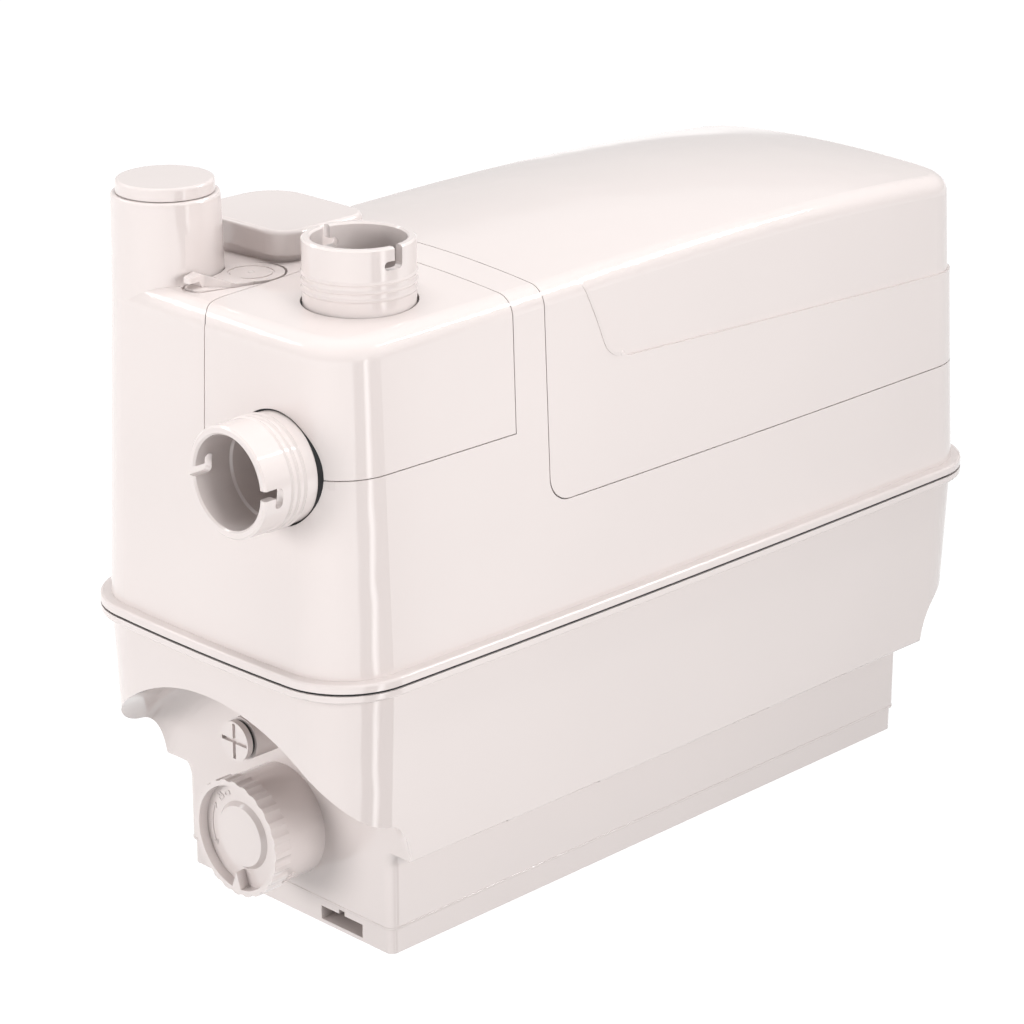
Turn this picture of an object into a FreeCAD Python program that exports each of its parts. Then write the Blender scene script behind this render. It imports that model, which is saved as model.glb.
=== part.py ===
import FreeCAD, Part
import math
import os

os.makedirs("parts", exist_ok=True)
V = FreeCAD.Vector

# Overall outline of the rim, seen from above
length = 373.0
width = 156.0
corner_radius = 30.0
side_bow = 1.5
end_bow = 1.2

# Levels, measured from the floor
tray_height = 10.2
tank_underside = 43.0
tank_rim_bottom = 115.0
tank_rim_top = 118.0
seal_thickness = 1.0
cover_rim_height = 3.2
cover_wall_start = 124.0
panel_seam_level = 196.3
motor_seam_level = 165.2
tower_top = 277.0

# Walls, drafts and gaps of the mouldings
wall = 3.0
rim_overhang = 4.3
tank_draft = 0.0395
cover_draft = 0.041
end_draft = 0.013
seam_gap = 0.4
ledge_thickness = 1.6
ledge_reach = 5.0
seal_inset = 0.8
fit_gap = 0.05
free_gap = 0.3
top_edge_radius = 8.0
rim_edge_radius = 1.0

# Crowned top: stations along X with the height of the edge and of the crown above it
top_overrun = 8.5
top_stations = [
    (-length / 2 - top_overrun, 245.4, 0.5),
    (-92.0, 246.9, 3.5),
    (30.0, 248.5, 6.5),
    (122.0, 246.1, 5.0),
    (length / 2 + top_overrun, 240.2, 1.4),
]
crown_from_side = 12.0

# Plinth and its tray
plinth_from_left = 41.0
plinth_from_right = 34.6
plinth_from_side = 20.0
plinth_corner = 4.0
tray_step = 1.0
tray_rib = 3.0
tray_cells = 3
bracket_slot_y = 29.5
bracket_slot_width = 23.0
bracket_slot_low = 1.5
bracket_slot_height = 5.5
bracket_slot_depth = 14.0

# Scoops under both ends of the tank
scoop_overrun = 6.0
scoop_top = 99.0
scoop_fillet = 12.0
tank_bottom_radius = 1.2
tank_inner_radius = 3.0
plinth_root_radius = 6.5

# Drain neck, its cap and the test plug above it
neck_level = 38.0
neck_radius = 22.3
neck_length = 17.5
neck_bore = 15.0
spigot_radius = 18.5
spigot_length = 1.7
cap_length = 8.0
cap_radius = 23.2
cap_floor = 1.8
cap_scallops = 24
cap_scallop_radius = 4.0
cap_scallop_depth = 0.6
cap_recess_radius = 20.8
cap_recess_depth = 4.2
cap_boss_radius = 13.5
cap_boss_depth = 2.4
screw_level = 77.5
screw_boss_radius = 8.3
screw_boss_length = 20.5
screw_head_radius = 7.8
screw_head_length = 4.0
screw_shank_radius = 4.92
screw_shank_length = 16.0
screw_slot = 1.6

# Inlet sockets
socket_radius = 20.5
socket_bore = 17.3
socket_inner_bore = 16.5
socket_step_depth = 16.3
socket_tube_radius = 20.0
socket_shoulder_radius = 23.4
socket_shoulder = 2.5
socket_rib_height = 0.45
socket_rib_pitch = 2.95
socket_rib_first = 12.6
socket_rib_count = 3
socket_slot_width = 3.6
socket_slot_depth = 6.5
socket_hook = 4.4
hole_radius = 21.2
seal_depth = 1.6
sockets_from_left = 54.0
top_socket_from_near = 46.0
top_socket_rise = 23.4
end_socket_from_near = 41.0
end_socket_level = 196.7
end_socket_reach = 14.5

# Inlet manifold behind the sockets
manifold_from_near = 42.5
manifold_radius = 28.0
manifold_wall = 2.5
manifold_drop = 11.6
branch_radius = 23.4
branch_from_left = 21.5
flap_radius = 17.2
flap_thickness = 2.0
flap_pin_rise = 23.0
flap_pin_radius = 1.5
flap_pin_half = 9.5
flap_ear = 3.0
flap_arm_half = 5.5
end_tube_from_left = 38.5

# Corner panel and motor cover seams
panel_length = 94.5
panel_from_far = 71.0
panel_turn = 6.7
panel_bend_start = 23.5
panel_bend_end = 9.5
motor_seam_from_left = 111.1
motor_seam_lean = 1.8
motor_corner = 10.0
hood_step = 1.0
hood_top_step = 0.3
hood_from_left = 126.0
hood_run = 20.1
hood_bend = 6.4
hood_levels = (258.0, 219.0, 212.6, 202.6)
hood_corner = 8.0

# Discharge tower, its cap and the check valve
tower_step = 0.1
tower_draft = 0.023
tower_wall = 3.0
tower_edge_radius = 1.2
discharge_radius = 15.0
discharge_bore = 12.0
discharge_rise = 3.5
tower_cap_radius = 18.2
tower_cap_height = 5.0
valve_radius = 16.0
valve_low = 204.0
valve_high = 238.0
valve_cavity = 13.0
valve_floor = 4.0
valve_flap_radius = 10.4
valve_flap_offset = 10.6
valve_pin_radius = 1.0
valve_pin_half = 6.0
sleeve_wall = 2.5
sleeve_depth = 20.0

# Release plug with its pull tab
plug_from_left = 47.9
plug_from_far = 58.4
plug_radius = 12.4
plug_shank = 8.0
plug_ring = 8.6
pocket_depth = 2.3
pocket_gap = 0.9
plug_plate = 1.3
plug_thickness = 2.5
tab_from_left = 24.5
tab_from_far = 56.5
tab_half = 4.0
tab_height = 5.9
tab_thickness = 2.2
tab_length = 7.0
tab_width = 3.4
tab_overhang = 1.5
lever_reach = 13.7
lever_side = 9.5

# Vent lid, its collar and the filter
lid_from_left = 60.0
lid_length = 45.0
lid_width = 55.5
lid_from_far = 7.0
lid_lift = 0.6
lid_height = 9.3
lid_near_corner = 10.0
lid_far_corner = 17.0
lid_edge_radius = 1.8
lid_wall = 2.0
collar_wall = 2.2
collar_from_far = 12.0
cup_depth = 18.0
cup_floor = 2.0
filter_height = 14.0

# Pump, its column and the motor over it
pump_from_right = 131.5
pump_floor = 24.0
volute_radius = 34.0
volute_growth = 2.0
volute_height = 26.0
volute_wall = 3.0
impeller_radius = 29.0
impeller_low = 29.5
impeller_vane_height = 12.0
impeller_disc = 2.5
impeller_vanes = 5
shaft_radius = 5.0
seal_radius = 11.0
column_radius = 16.0
column_bore = 13.0
flange_radius = 26.0
lid_plate = 3.0
motor_radius = 44.0
motor_wall = 3.0
motor_flange_reach = 8.0
motor_flange = 4.0
motor_height = 92.0
stator_bore = 24.2
rotor_radius = 23.7
bearing_radius = 13.0
bearing_width = 9.0
screw_reach = 4.0

# Pipes and electrics
pipe_radius = 12.0
pipe_bore = 9.5
pipe_bend = 13.0
pipe_rise_from_left = 74.5
pipe_cross_level = 105.0
level_pipe_from_left = 126.5
level_pipe_from_near = 48.0
level_pipe_radius = 15.0
level_pipe_wall = 2.5
level_pipe_low = 30.0
capacitor_from_left = 136.5
capacitor_from_far = 38.0
capacitor_radius = 17.5
capacitor_height = 60.0
board_from_right = 30.5
board_length = 44.0
board_half = 38.0
board_thickness = 1.6
standoff_height = 8.0
gland_level = 148.0
gland_radius = 9.0
gland_thread = 7.4
gland_pad = 11.0
gland_bore = 4.0

# Sizes that follow from the ones above
corner_x = length / 2 - end_bow - corner_radius
corner_y = width / 2 - side_bow - corner_radius
cover_rim_bottom = tank_rim_top + seal_thickness
cover_rim_top = cover_rim_bottom + cover_rim_height
plate_bottom = tank_rim_top
plate_top = plate_bottom + lid_plate
motor_flange_radius = motor_radius + motor_flange_reach
screw_circle = motor_radius + screw_reach
plate_inset = rim_overhang + wall + 0.7
left_end = -length / 2
right_end = length / 2
near_side = -width / 2
far_side = width / 2
beyond = length
crown_half_width = far_side - crown_from_side
crown_top = max(edge + crown for x, edge, crown in top_stations)
plinth_left = left_end + plinth_from_left
plinth_right = right_end - plinth_from_right
plinth_half_width = far_side - plinth_from_side
scoop_radius = far_side + scoop_overrun
neck_end = plinth_left - neck_length
spigot_end = neck_end - spigot_length
cap_front = neck_end - cap_length
screw_boss_end = plinth_left - screw_boss_length
screw_front = screw_boss_end - screw_head_length
screw_shank_end = screw_boss_end + screw_shank_length
top_axis = (left_end + sockets_from_left, near_side + top_socket_from_near)
end_axis = (near_side + end_socket_from_near, end_socket_level)
end_mouth = left_end - end_socket_reach
manifold_axis = (left_end + sockets_from_left, near_side + manifold_from_near)
branch_end = left_end + branch_from_left
end_tube_inner = left_end + end_tube_from_left
panel_x = left_end + panel_length
panel_y_top = far_side - panel_from_far
panel_y_end = panel_y_top - panel_turn
motor_x_low = left_end + motor_seam_from_left
motor_x_high = motor_x_low - motor_seam_lean
hood_x = (left_end + hood_from_left, left_end + hood_from_left + hood_run,
          left_end + hood_from_left + hood_run + hood_bend, right_end + 13.5)
hood_points = list(zip(hood_x, hood_levels))
discharge_end = tower_top + discharge_rise
tower_cap_top = tower_top + tower_cap_height
plug_axis = (left_end + plug_from_left, far_side - plug_from_far)
tab_x = left_end + tab_from_left
tab_y = far_side - tab_from_far
lid_left = left_end + lid_from_left
lid_right = lid_left + lid_length
lid_far = far_side - lid_from_far
lid_near = lid_far - lid_width
collar_far = far_side - collar_from_far
pump_x = right_end - pump_from_right
pipe_rise_x = left_end + pipe_rise_from_left
level_pipe_axis = (left_end + level_pipe_from_left, near_side + level_pipe_from_near)
capacitor_axis = (left_end + capacitor_from_left, far_side - capacitor_from_far)
board_right = right_end - board_from_right
board_left = board_right - board_length
ledge_inset = plate_inset + 4.0
tower_axis = (-corner_x, corner_y)
side_angle = math.asin(2 * corner_x * side_bow / (corner_x ** 2 + side_bow ** 2))
end_angle = math.asin(2 * corner_y * end_bow / (corner_y ** 2 + end_bow ** 2))


def save(name, shape):
    """Writes one piece to its own file."""
    shape.exportStep("parts/" + name + ".step")


def ring(z, inset, end_cut=0.0):
    """Bowed rounded rectangle at height z, drawn inside the rim by inset."""
    right = corner_x - end_cut
    radius = corner_radius - inset
    reach_x = length / 2 - inset
    reach_y = width / 2 - inset
    corners = [(right, corner_y, 0.0), (-corner_x, corner_y, 90.0)]
    corners += [(-corner_x, -corner_y, 180.0), (right, -corner_y, 270.0)]
    middles = [V((right - corner_x) / 2, reach_y, z), V(-reach_x, 0, z)]
    middles += [V((right - corner_x) / 2, -reach_y, z), V(reach_x - end_cut, 0, z)]
    arcs = []
    for index, (x, y, turn) in enumerate(corners):
        start = end_angle if index % 2 == 0 else side_angle
        stop = side_angle if index % 2 == 0 else end_angle
        points = []
        for angle in (start, math.pi / 4, math.pi / 2 - stop):
            angle += math.radians(turn)
            points.append(V(x + radius * math.cos(angle), y + radius * math.sin(angle), z))
        arcs.append(points)
    edges = []
    for index, points in enumerate(arcs):
        edges.append(Part.Arc(*points).toShape())
        following = arcs[(index + 1) % 4][0]
        edges.append(Part.Arc(points[2], middles[index], following).toShape())
    return Part.Wire(edges)


def loft(wires):
    """Ruled solid through a list of rings."""
    return Part.makeLoft(wires, True, True)


def slab(low, high, inset):
    """Upright prism of the rim outline between two levels."""
    return Part.Face(ring(low, inset)).extrude(V(0, 0, high - low))


def box(x0, x1, y0, y1, z0, z1):
    return Part.makeBox(x1 - x0, y1 - y0, z1 - z0, V(x0, y0, z0))


def tube_z(axis, low, high, radius, bore=0.0):
    """Upright cylinder on a plan position, hollow when it has a bore."""
    solid = Part.makeCylinder(radius, high - low, V(axis[0], axis[1], low))
    if bore:
        solid = solid.cut(Part.makeCylinder(bore, high - low, V(axis[0], axis[1], low)))
    return solid


def tube_x(axis, left, right, radius, bore=0.0):
    """Cylinder along X at a (y, z) position, hollow when it has a bore."""
    along = V(1, 0, 0)
    solid = Part.makeCylinder(radius, right - left, V(left, axis[0], axis[1]), along)
    if bore:
        solid = solid.cut(Part.makeCylinder(bore, right - left, V(left, axis[0], axis[1]), along))
    return solid


def tube_y(axis, low, high, radius):
    """Cylinder along Y at an (x, z) position."""
    return Part.makeCylinder(radius, high - low, V(axis[0], low, axis[1]), V(0, 1, 0))


def rounded_box(x0, x1, y0, y1, z0, z1, radius):
    """Box with its upright edges rounded."""
    solid = box(x0, x1, y0, y1, z0, z1)
    upright = [e for e in solid.Edges if abs(e.Vertexes[0].Z - e.Vertexes[1].Z) > 1e-6]
    return solid.makeFillet(radius, upright)


def level_edges(shape, z):
    """Edges that lie flat at height z."""
    return [e for e in shape.Edges if abs(e.BoundBox.ZMin - z) < 1e-4 and abs(e.BoundBox.ZMax - z) < 1e-4]


def rounded_outline(points, radii):
    """Closed list of edges through corner points, each corner rounded by its own radius."""
    count = len(points)
    starts = []
    for index in range(count):
        here = points[index]
        before = (points[index - 1] - here).normalize()
        after = (points[(index + 1) % count] - here).normalize()
        radius = radii[index]
        if radius == 0:
            starts.append((here, None, here))
            continue
        half = before.getAngle(after) / 2
        reach = radius / math.tan(half)
        centre = here + (before + after).normalize() * (radius / math.sin(half))
        middle = centre + (here - centre).normalize() * radius
        starts.append((here + before * reach, middle, here + after * reach))
    edges = []
    for index in range(count):
        first, middle, last = starts[index]
        if middle:
            edges.append(Part.Arc(first, middle, last).toShape())
        edges.append(Part.LineSegment(last, starts[(index + 1) % count][0]).toShape())
    return Part.Wire(edges)


def prism(wire, direction):
    return Part.Face(wire).extrude(direction)


# Shapes shared by the mouldings


def cover_inset(z):
    return rim_overhang + cover_draft * (z - cover_wall_start)


def tank_inset(z):
    return rim_overhang + tank_draft * (tank_rim_bottom - z)


def crown_body(drop):
    """Everything under the crowned top, lowered by drop."""
    wires = []
    for x, edge, crown in top_stations:
        side = crown_half_width * 1.6
        fall = crown * (1.6 ** 2 - 1)
        low = V(x, -side, cover_rim_bottom - 40)
        left = V(x, -side, edge - fall - drop)
        top = V(x, 0, edge + crown - drop)
        right = V(x, side, edge - fall - drop)
        base = V(x, side, cover_rim_bottom - 40)
        edges = [Part.LineSegment(low, left).toShape(), Part.Arc(left, top, right).toShape()]
        edges += [Part.LineSegment(right, base).toShape(), Part.LineSegment(base, low).toShape()]
        wires.append(Part.Wire(edges))
    return Part.makeLoft(wires, True, False)


def cover_body(side, drop, low, radius):
    """Drafted and crowned outer form of the cover, moved in by side and down by drop."""
    high = crown_top + 7.0
    lower = ring(low, cover_inset(low) + side, end_draft * (low - cover_wall_start))
    upper = ring(high, cover_inset(high) + side, end_draft * (high - cover_wall_start))
    body = loft([lower, upper]).common(crown_body(drop))
    rim = [e for e in body.Edges if e.BoundBox.ZMin > 225]
    return body.makeFillet(radius, rim)


def motor_region(grow):
    """Region of the motor cover, cut across the whole width."""
    low = motor_seam_level - grow
    points = [
        V(motor_x_high - grow, -beyond, beyond),
        V(motor_x_low - grow, -beyond, low),
        V(beyond, -beyond, low),
        V(beyond, -beyond, beyond),
    ]
    wire = rounded_outline(points, [0, motor_corner, 0, 0])
    return prism(wire, V(0, 2 * beyond, 0))


def hood_region():
    """Region of the stepped-in hood, cut across the whole width."""
    points = [V(x, -beyond, z) for x, z in hood_points]
    points += [V(beyond, -beyond, hood_points[-1][1]), V(beyond, -beyond, beyond)]
    points += [V(hood_points[0][0] - 10, -beyond, beyond)]
    wire = rounded_outline(points, [0, hood_corner, hood_corner, 0, 0, 0, 0])
    return prism(wire, V(0, 2 * beyond, 0))


def panel_region(grow):
    """Region of the corner panel: straight along the top, curving down the end face."""
    low = panel_seam_level - grow
    top_y = panel_y_top + grow
    end_y = panel_y_end + grow
    right = panel_x + grow
    bend_start = V(left_end + panel_bend_start, top_y, low)
    bend_middle = V(left_end + (panel_bend_start + panel_bend_end) / 2 - 1.5, top_y - panel_turn * 0.39, low)
    bend_end = V(left_end + panel_bend_end, end_y, low)
    corners = [V(-beyond, end_y, low), V(-beyond, -beyond, low)]
    corners += [V(right, -beyond, low), V(right, top_y, low)]
    edges = [Part.Arc(bend_start, bend_middle, bend_end).toShape()]
    path = [bend_end] + corners + [bend_start]
    for first, second in zip(path, path[1:]):
        edges.append(Part.LineSegment(first, second).toShape())
    return prism(Part.Wire(edges), V(0, 0, beyond))


def teardrop(grow, z0, z1):
    """Plan outline of the release plug: a disc that tapers to the pull tab."""
    radius = plug_radius + grow
    half = tab_half + grow
    disc = tube_z(plug_axis, z0, z1, radius)
    end = tab_x - half
    points = [
        V(plug_axis[0] - radius * 0.3, plug_axis[1] - radius * 0.95, z0),
        V(end, tab_y - half, z0),
        V(end, tab_y + half, z0),
        V(plug_axis[0] - radius * 0.3, plug_axis[1] + radius * 0.95, z0),
    ]
    arm = prism(rounded_outline(points, [0, half * 0.6, half * 0.6, 0]), V(0, 0, z1 - z0))
    return disc.fuse(arm)


def top_level(x, y):
    """Height of the crowned top over a plan position."""
    line = Part.makeLine(V(x, y, cover_rim_top), V(x, y, 2 * top_stations[0][1]))
    return crown_body(0).common(line).BoundBox.ZMax


def top_mouth():
    return top_level(*top_axis) + top_socket_rise


def manifold_top():
    return top_level(*top_axis) - manifold_drop


def tower_foot():
    return top_level(*tower_axis) - top_edge_radius


def tower_radius(z):
    """Outside of the tower, which takes over from the cone of the corner at its foot."""
    low = corner_radius - cover_inset(tower_foot()) - tower_step
    return low - tower_draft * (z - tower_foot())


def tower_body(grow):
    """Solid cone of the tower, grown by a clearance."""
    foot = tower_foot()
    high = tower_top + grow
    return Part.makeCone(tower_radius(foot) + grow, tower_radius(high) + grow, high - foot,
                         V(tower_axis[0], tower_axis[1], foot))


def plug_floor():
    return top_level(*plug_axis) - pocket_depth


def lid_bottom():
    return top_level(lid_right, lid_near) + lid_lift


def lid_top():
    return lid_bottom() + lid_height


def cup_low():
    return top_level(lid_left, lid_near) - cup_depth


def lid_outline(inset, z0, z1, far):
    """Rounded square of the vent lid, larger corners on the far side."""
    points = [
        V(lid_left + inset, lid_near + inset, z0),
        V(lid_right - inset, lid_near + inset, z0),
        V(lid_right - inset, far, z0),
        V(lid_left + inset, far, z0),
    ]
    near = lid_near_corner - inset
    wide = lid_far_corner - inset
    return prism(rounded_outline(points, [near, near, wide, wide]), V(0, 0, z1 - z0))


def scoop(side, grow):
    """Arched hollow under one end of the tank; side is -1 at the sockets and 1 opposite."""
    radius = scoop_radius + grow
    centre = scoop_top - scoop_radius
    inner = (plinth_left if side < 0 else plinth_right) - side * grow
    outer = side * beyond
    arc_y = radius
    left = V(inner, -arc_y, centre)
    top = V(inner, 0, centre + radius)
    right = V(inner, arc_y, centre)
    edges = [Part.Arc(left, top, right).toShape()]
    edges.append(Part.LineSegment(right, V(inner, arc_y, -20)).toShape())
    edges.append(Part.LineSegment(V(inner, arc_y, -20), V(inner, -arc_y, -20)).toShape())
    edges.append(Part.LineSegment(V(inner, -arc_y, -20), left).toShape())
    solid = prism(Part.Wire(edges), V(outer - inner, 0, 0))
    arch = [e for e in solid.Edges if abs(e.BoundBox.XMin - inner) < 1e-4
            and abs(e.BoundBox.XMax - inner) < 1e-4 and e.BoundBox.ZMax > centre + radius - 1]
    return solid.makeFillet(max(scoop_fillet - grow, 1.0), arch)


# Lower tank


def make_plinth():
    """Plinth whose long sides flare into the tank's underside."""
    half = plinth_half_width
    root = plinth_root_radius
    start = tank_underside - root
    high = tank_underside + 10
    x = plinth_left
    diagonal = root * math.sqrt(0.5)
    edges = []
    for side in (1, -1):
        foot = V(x, side * half, tray_height)
        flare = V(x, side * half, start)
        middle = V(x, side * (half + root - diagonal), start + diagonal)
        end = V(x, side * (half + root), tank_underside)
        top = V(x, side * (half + root), high)
        edges.append(Part.LineSegment(foot, flare).toShape())
        edges.append(Part.Arc(flare, middle, end).toShape())
        edges.append(Part.LineSegment(end, top).toShape())
    edges.append(Part.LineSegment(V(x, half, tray_height), V(x, -half, tray_height)).toShape())
    edges.append(Part.LineSegment(V(x, half + root, high), V(x, -half - root, high)).toShape())
    body = prism(Part.Wire(Part.__sortEdges__(edges)), V(plinth_right - plinth_left, 0, 0))
    corners = [e for e in body.Edges if e.BoundBox.XLength < 1e-6 and e.BoundBox.ZLength > 1
               and e.BoundBox.ZMax < tank_underside + 0.01]
    return body.makeFillet(plinth_corner, corners)


def make_tank():
    levels = [(tank_rim_bottom + 1, 0.0), (tank_underside, 0.0)]
    body = loft([ring(z, tank_inset(z), cut) for z, cut in levels])
    body = body.makeFillet(tank_bottom_radius, level_edges(body, tank_underside))
    body = body.cut(scoop(-1, 0)).cut(scoop(1, 0))
    body = body.fuse(make_plinth())
    rim = slab(tank_rim_bottom, tank_rim_top, 0)
    rim = rim.makeFillet(rim_edge_radius, level_edges(rim, tank_rim_bottom))
    body = body.fuse(rim)
    neck = tube_x((0, neck_level), neck_end, plinth_left + 1, neck_radius)
    neck = neck.fuse(tube_x((0, neck_level), spigot_end, neck_end, spigot_radius))
    boss = tube_x((0, screw_level), screw_boss_end, plinth_left + 8, screw_boss_radius)
    body = body.fuse(neck).fuse(boss)
    hollow = loft([ring(z, tank_inset(z) + wall) for z in (tank_rim_bottom - 4, tank_underside + wall)])
    hollow = hollow.makeFillet(tank_inner_radius, level_edges(hollow, tank_underside + wall))
    hollow = hollow.cut(scoop(-1, wall)).cut(scoop(1, wall))
    sump = rounded_box(plinth_left + wall, plinth_right - wall, wall - plinth_half_width,
                       plinth_half_width - wall, tray_height + wall, tank_underside + wall + 5,
                       plinth_corner - wall + 1)
    mouth = slab(tank_rim_bottom - 5, tank_rim_top, ledge_inset)
    body = body.cut(hollow.fuse(sump).fuse(mouth))
    body = body.cut(tube_x((0, neck_level), spigot_end - 1, plinth_left + wall + 2, neck_bore))
    bore = screw_shank_radius + 0.08
    return body.cut(tube_x((0, screw_level), screw_boss_end - 1, plinth_left + wall + 10, bore))


def make_tray():
    left = plinth_left + tray_step
    right = plinth_right - tray_step
    half = plinth_half_width - tray_step
    body = rounded_box(left, right, -half, half, 0, tray_height, plinth_corner - tray_step)
    cells = tray_cells
    inner_left = left + bracket_slot_depth + tray_rib
    inner_right = right - bracket_slot_depth - tray_rib
    pitch = (inner_right - inner_left + tray_rib) / cells
    for index in range(cells):
        x0 = inner_left + index * pitch
        for y0, y1 in ((tray_rib / 2, half - tray_rib), (tray_rib - half, -tray_rib / 2)):
            body = body.cut(box(x0, x0 + pitch - tray_rib, y0, y1, tray_rib, tray_height))
    for x0 in (left, right - bracket_slot_depth):
        for y in (-bracket_slot_y, bracket_slot_y):
            low = bracket_slot_low
            high = low + bracket_slot_height
            half_slot = bracket_slot_width / 2
            body = body.cut(box(x0, x0 + bracket_slot_depth, y - half_slot, y + half_slot, low, high))
            body = body.cut(box(x0, x0 + bracket_slot_depth, y - 1.6, y + 1.6, high - 1, high + 1.8))
    return body


def make_rim_seal():
    inner = rim_overhang + wall
    return slab(tank_rim_top, cover_rim_bottom, seal_inset).cut(slab(tank_rim_top, cover_rim_bottom, inner))


# Cover mouldings


def make_covers():
    outer = cover_body(0, 0, cover_rim_bottom, top_edge_radius)
    inner = cover_body(wall, wall, cover_rim_bottom - 5, top_edge_radius - wall)
    deep = cover_body(wall + ledge_thickness, wall + ledge_thickness, cover_rim_bottom - 6,
                      top_edge_radius - wall - ledge_thickness)
    shell = outer.cut(inner)
    ledge = inner.cut(deep)
    hood = cover_body(hood_step, hood_top_step, cover_rim_bottom, top_edge_radius)
    hood_inner = cover_body(hood_step + wall, hood_top_step + wall, cover_rim_bottom - 7,
                            top_edge_radius - wall)
    half = seam_gap / 2

    motor = shell.common(motor_region(-half))
    stepped = hood.cut(hood_inner).common(hood_region())
    motor = motor.cut(hood_region()).fuse(stepped)

    panel = shell.common(panel_region(-half))
    cover = shell.cut(motor_region(half)).cut(panel_region(half))
    motor_ledge = ledge.common(motor_region(ledge_reach)).cut(motor_region(-ledge_reach))
    panel_ledge = ledge.common(panel_region(ledge_reach)).cut(panel_region(-ledge_reach))
    cover = cover.fuse(motor_ledge).fuse(panel_ledge)
    rim = slab(cover_rim_bottom, cover_rim_top, 0)
    rim = rim.makeFillet(rim_edge_radius, level_edges(rim, cover_rim_top))
    cover = cover.fuse(rim.cut(slab(cover_rim_bottom, cover_rim_top, rim_overhang + wall)))

    # discharge tower, which carries on the cone of the corner
    foot = tower_foot()
    tower = tower_body(0)
    tower = tower.makeFillet(tower_edge_radius, level_edges(tower, tower_top))
    roof = tower_top - wall
    bore = tower_radius(tower_top) - tower_wall
    cover = cover.fuse(tower)
    cover = cover.cut(tube_z(tower_axis, foot - 3, roof, bore))
    cover = cover.cut(tube_z(tower_axis, roof - 1, tower_top + 1, discharge_radius + 0.2))

    # vent collar with the filter cup under it
    collar_gap = lid_wall + free_gap
    floor = cup_low()
    collar = lid_outline(collar_gap, floor, lid_top() - lid_wall - free_gap, collar_far)
    collar = collar.common(slab(floor, lid_top(), cover_inset(floor) + wall / 2))
    cup = lid_outline(collar_gap + collar_wall, floor + cup_floor, lid_top(), collar_far - collar_wall)
    cover = cover.fuse(collar).cut(cup)
    for index in range(5):
        x0 = (lid_left + lid_right) / 2 - 13.5 + index * 6
        cover = cover.cut(box(x0, x0 + 3, lid_near + 12, collar_far - 12, floor - 1, floor + cup_floor + 1))

    # pocket of the release plug, which stops at the foot of the tower
    floor = plug_floor()
    pad = teardrop(pocket_gap + 1.2, floor - wall + 0.5, floor + 0.5)
    pad = pad.cut(tube_z(tower_axis, foot, roof, bore + 1))
    cover = cover.fuse(pad.common(outer).cut(panel_region(half)))
    cover = cover.cut(teardrop(pocket_gap, floor, floor + 20).cut(tower))
    cover = cover.cut(tube_z(plug_axis, floor - 10, floor + 1, plug_shank + free_gap))

    # holes of the sockets
    face = end_face()
    end_hole = tube_x(end_axis, face - 20, face + 14, hole_radius)
    crest = top_level(*top_axis)
    top_hole = tube_z(top_axis, crest - 14, crest + 20, hole_radius)
    panel = panel.cut(end_hole).cut(top_hole)
    cover = cover.cut(end_hole).cut(top_hole)
    shoulder = tube_x(end_axis, face + wall + 2, face + 20, socket_shoulder_radius + free_gap)
    cover = cover.cut(shoulder)

    # flat pad and hole of the cable gland
    outside = gland_face()
    inside = outside - wall - 2
    cover = cover.fuse(tube_x((0, gland_level), inside, outside, gland_pad))
    cover = cover.cut(tube_x((0, gland_level), inside - 1, outside + 1, gland_thread + 0.1))
    return cover, motor, panel


def end_face():
    """Outside of the end wall at the socket's axis."""
    y, z = end_axis
    bow = end_bow * (y / corner_y) ** 2
    return -length / 2 + cover_inset(z) + bow


def gland_face():
    """Outside of the gland's pad on the far end wall."""
    slope = end_draft * (gland_level - cover_wall_start)
    return length / 2 - cover_inset(gland_level) - slope + 1.0


# Inlet sockets, seals, manifold and flap


def make_socket(shoulder, bottom):
    """Socket that looks up with its mouth at z = 0, given the depths of its shoulder and end."""
    edge = 0.7
    outer = [(socket_bore + edge, 0), (socket_radius - edge, 0), (socket_radius, -edge)]
    for index in range(socket_rib_count):
        depth = socket_rib_first + index * socket_rib_pitch
        peak = socket_radius + socket_rib_height
        outer += [(socket_radius, -depth + 0.8), (peak, -depth), (socket_radius, -depth - 0.8)]
    outer += [(socket_radius, -shoulder), (socket_shoulder_radius, -shoulder)]
    outer.append((socket_shoulder_radius, -shoulder - socket_shoulder))
    outer.append((socket_tube_radius, -shoulder - socket_shoulder))
    outer += [(socket_tube_radius, -bottom), (socket_inner_bore, -bottom)]
    outer.append((socket_inner_bore, -socket_step_depth - 0.8))
    outer += [(socket_bore, -socket_step_depth), (socket_bore, -edge)]
    points = [V(r, 0, z) for r, z in outer]
    body = Part.Face(Part.makePolygon(points + [points[0]])).revolve(V(0, 0, 0), V(0, 0, 1), 360)
    hook_angle = math.degrees(socket_hook / socket_radius)
    half = socket_slot_width / 2
    for turn in (-90, 90):
        slot = box(0, 30, -half, half, -socket_slot_depth, 1)
        end = Part.makeCylinder(half * 0.9, 30, V(0, 0, -socket_slot_depth), V(1, 0, 0))
        far = end.copy()
        far.rotate(V(0, 0, 0), V(0, 0, 1), -hook_angle)
        bar = box(0, 30, -socket_hook, 0, -socket_slot_depth - half * 0.9, -socket_slot_depth + half * 0.9)
        cutter = slot.fuse(end).fuse(bar).fuse(far)
        cutter.rotate(V(0, 0, 0), V(0, 0, 1), turn)
        body = body.cut(cutter)
    return body


def make_socket_top():
    depth = top_mouth() - manifold_top()
    body = make_socket(depth - socket_shoulder, depth + wall)
    body.translate(V(top_axis[0], top_axis[1], top_mouth()))
    return body


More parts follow.
